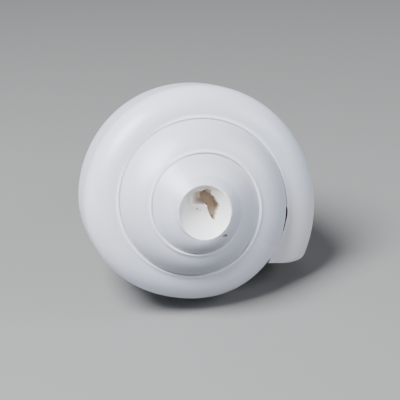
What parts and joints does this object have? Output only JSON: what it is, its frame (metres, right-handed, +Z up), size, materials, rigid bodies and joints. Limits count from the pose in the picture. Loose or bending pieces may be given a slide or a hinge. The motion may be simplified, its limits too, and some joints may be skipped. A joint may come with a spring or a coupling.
{
  "type": "blowing conch shell",
  "caption": "White polished conch shell with its tip ground open as a mouthpiece, lying on its mouth; heavy shouldered body, long tapering canal, open hollow inside.",
  "frame": {"origin": "on the ground, below the middle of the shell's bounding box", "axes": "+Z up from the ground; +Y along the shell from the ground-off tip towards the canal end; +X towards the outer lip of the mouth"},
  "size_m": [0.0862, 0.1496, 0.0772],
  "materials": {
    "shell": "polished, bluish white, slightly glossy like porcelain"
  },
  "bodies": {
    "root": {"shell": "shell"}
  },
  "joints": []
}
